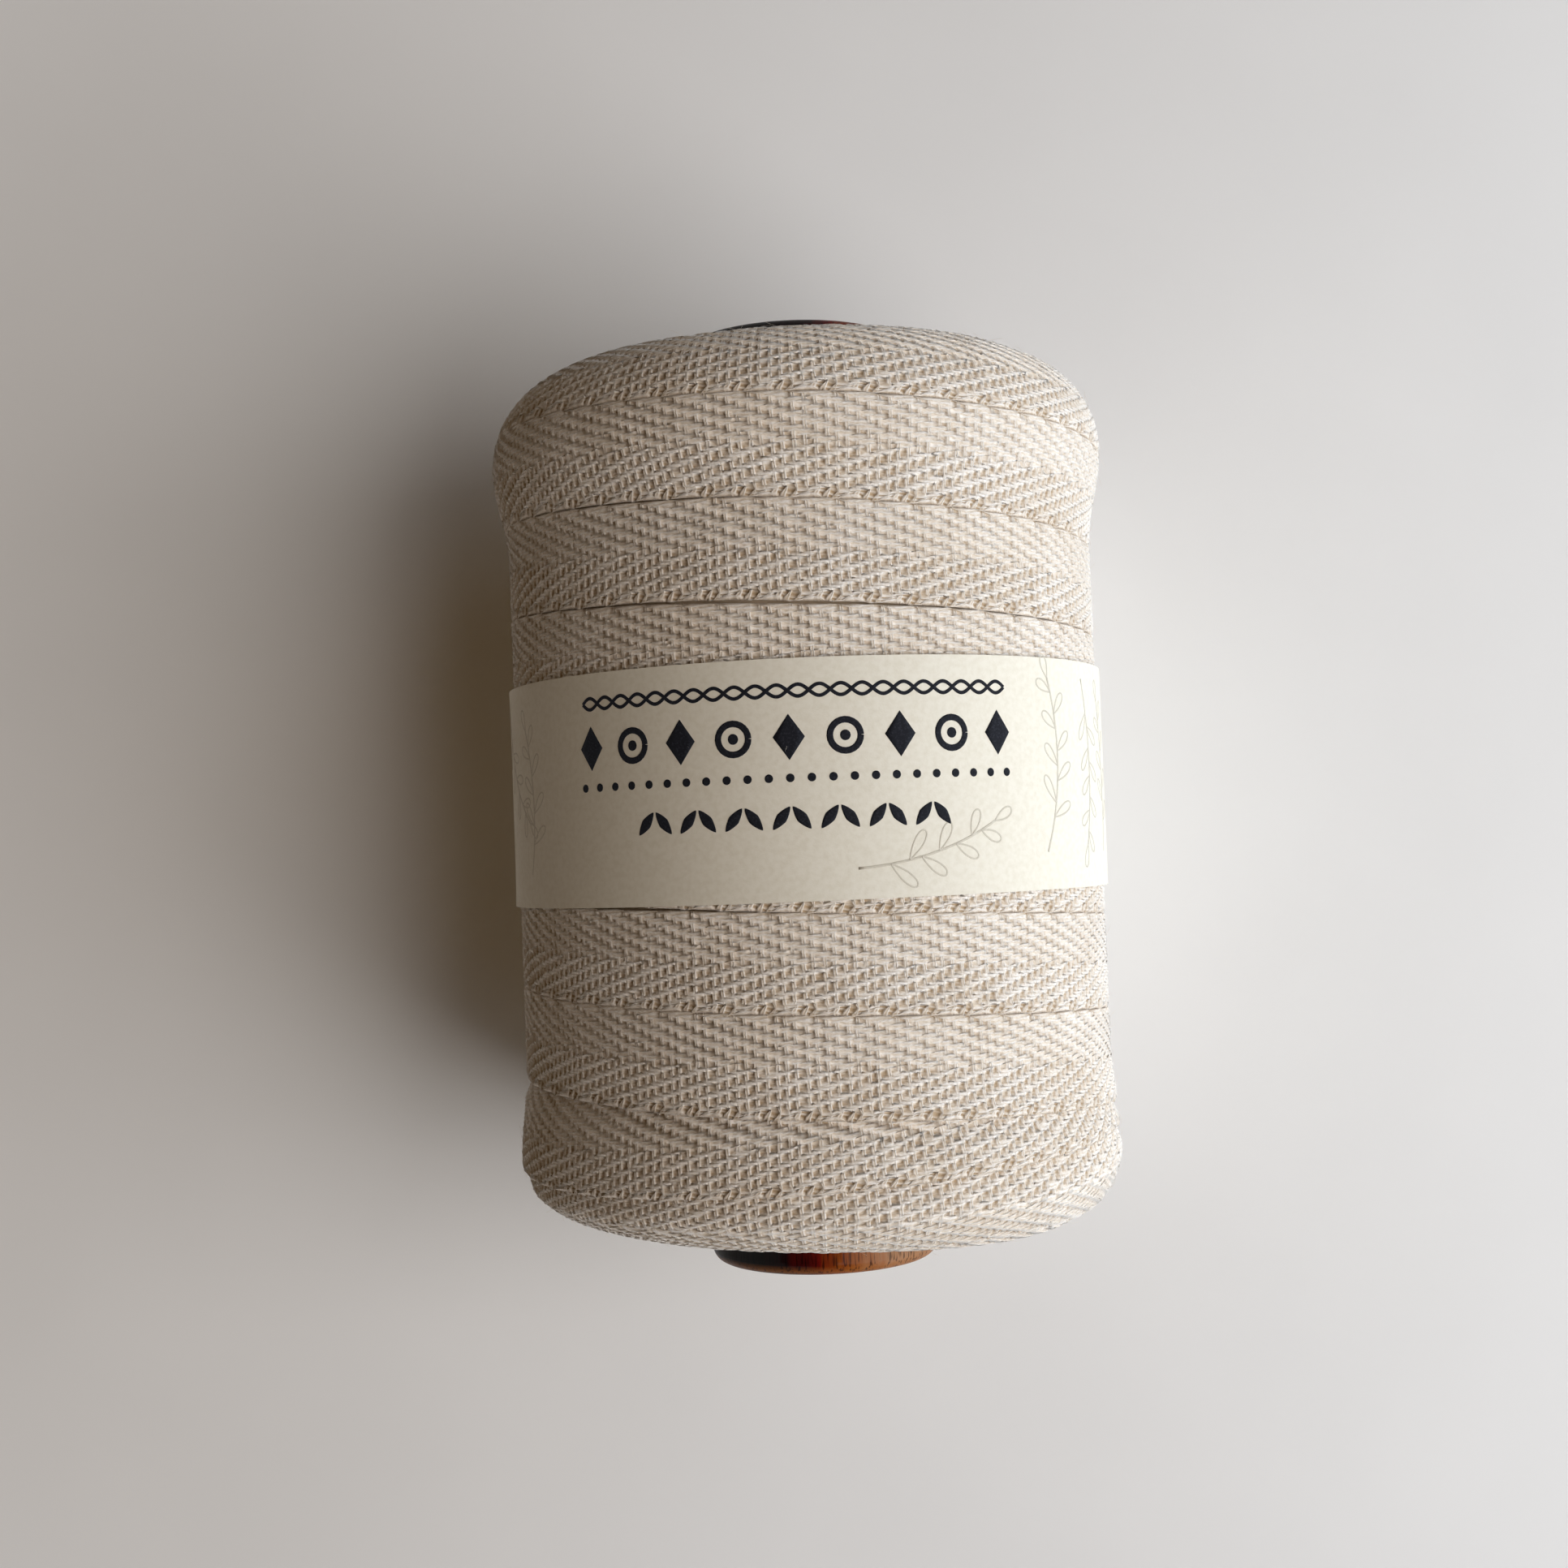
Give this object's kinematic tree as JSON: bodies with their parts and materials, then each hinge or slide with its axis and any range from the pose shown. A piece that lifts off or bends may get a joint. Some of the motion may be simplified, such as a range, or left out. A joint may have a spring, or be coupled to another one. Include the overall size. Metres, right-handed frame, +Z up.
{
  "type": "spool of twill tape",
  "caption": "Turned wooden spool with a through bore, wound full with flat herringbone cotton tape and held by a paper band round its waist.",
  "frame": {"origin": "middle of the box that holds the spool, on the surface that it lies on", "axes": "+Y along the spool's axis, towards the end that is farther from the band; +Z up, away from the surface that the spool lies on; the band's glued overlap faces -Z"},
  "size_m": [0.0646, 0.098, 0.0643],
  "materials": {
    "stained_wood": "dark stain under gloss varnish",
    "cotton_tape": "unbleached herringbone twill",
    "band_paper": "matt uncoated"
  },
  "bodies": {
    "wound_spool": {"wood_spool": "stained_wood", "tape_inner_layers": "cotton_tape", "tape_outer_layer": "cotton_tape"},
    "band": {"paper_band": "band_paper"}
  },
  "joints": [
    {"name": "band_turn", "type": "hinge", "parent": "wound_spool", "child": "band", "pos_m": [0, 0.0008, 0.03192], "axis": [0, 1, 0], "continuous": true}
  ]
}
